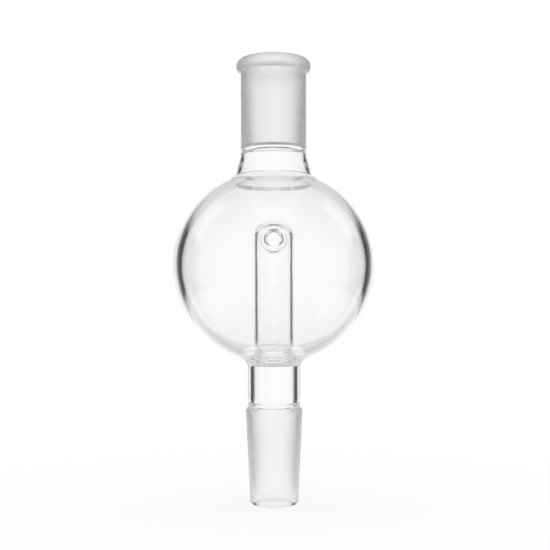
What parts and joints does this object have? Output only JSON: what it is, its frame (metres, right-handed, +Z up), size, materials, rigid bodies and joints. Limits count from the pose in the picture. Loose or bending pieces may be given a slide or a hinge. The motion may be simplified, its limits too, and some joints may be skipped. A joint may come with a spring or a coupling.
{
  "type": "bump trap adapter",
  "caption": "Clear glass bump trap: round bulb with a domed inner vapour tube and side hole, between a ground cone below and a ground socket with a rolled rim above.",
  "frame": {"origin": "middle of the cone's tip ring, the lowest point on the axis", "axes": "+Z up along the axis from the cone to the socket, -Y out through the vapour hole"},
  "size_m": [0.085, 0.085, 0.1875],
  "materials": {
    "glass": "clear, with a fine ground finish on the cone, in the socket and on the rim"
  },
  "bodies": {
    "root": {"trap_body": "glass"}
  },
  "joints": []
}
